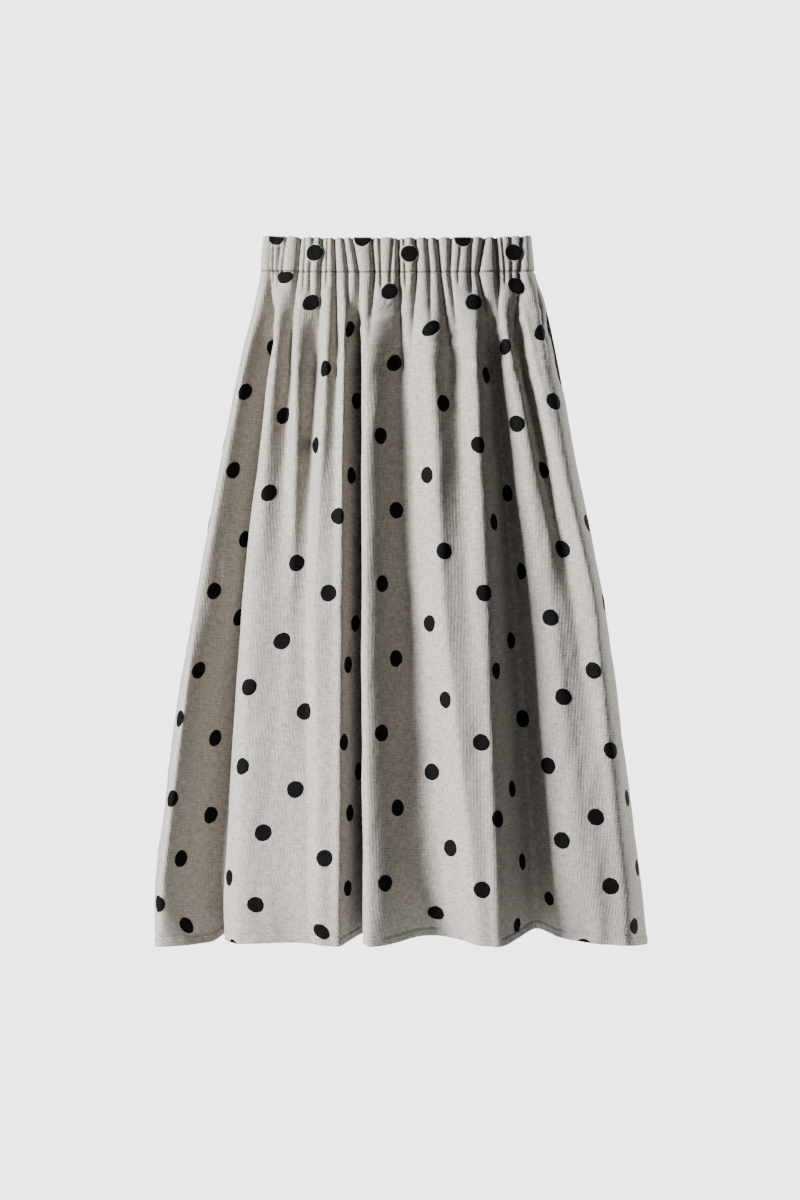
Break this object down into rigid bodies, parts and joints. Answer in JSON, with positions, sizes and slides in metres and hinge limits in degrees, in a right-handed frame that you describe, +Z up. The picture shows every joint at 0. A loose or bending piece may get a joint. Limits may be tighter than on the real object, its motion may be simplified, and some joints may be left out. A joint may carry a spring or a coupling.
{
  "type": "a-line midi skirt",
  "caption": "A-line midi skirt in dotted linen with a gathered elastic waistband and a narrow turned-up hem, filled out and open at waist and hem.",
  "frame": {"origin": "middle of the waist opening, level with the top edge of the waistband, where the wearer holds the skirt up", "axes": "+Z up along the skirt towards the waist, +Y from front to back so the front faces -Y, +X towards the wearer's left"},
  "size_m": [0.5544, 0.2619, 0.8002],
  "materials": {
    "linen": "matte plain-weave linen with black embroidered dots"
  },
  "bodies": {
    "root": {"waistband": "linen", "front_panel": "linen", "back_panel": "linen", "pocket_bag": "linen"}
  },
  "joints": []
}
